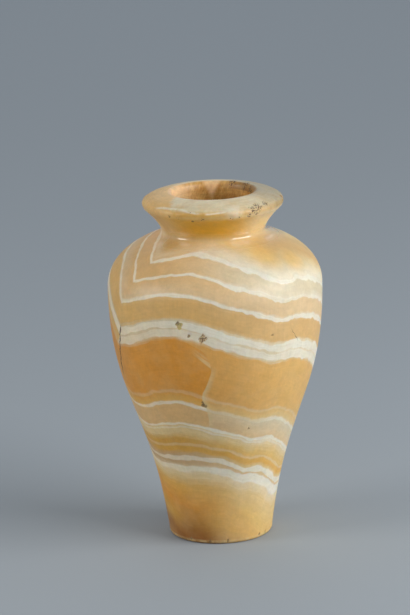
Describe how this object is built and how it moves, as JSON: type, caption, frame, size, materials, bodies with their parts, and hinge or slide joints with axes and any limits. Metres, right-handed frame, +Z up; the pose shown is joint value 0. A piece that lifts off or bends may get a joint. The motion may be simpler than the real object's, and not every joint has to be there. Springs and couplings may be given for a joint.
{
  "type": "alabaster vase",
  "caption": "Wide-shouldered stone jar with a short hollow-curved neck, a thick overhanging lip and a narrow flat foot, drilled hollow.",
  "frame": {"origin": "on the surface that the vase stands on, under the middle of its widest ring", "axes": "+Z up through the vase; +X to the right and -Y towards the viewer of the pictured side"},
  "size_m": [0.1676, 0.1676, 0.275],
  "materials": {
    "alabaster": "hand-polished honey calcite with wavy white bands, a soft gloss, small pits and hairline cracks"
  },
  "bodies": {
    "root": {"vase": "alabaster"}
  },
  "joints": []
}
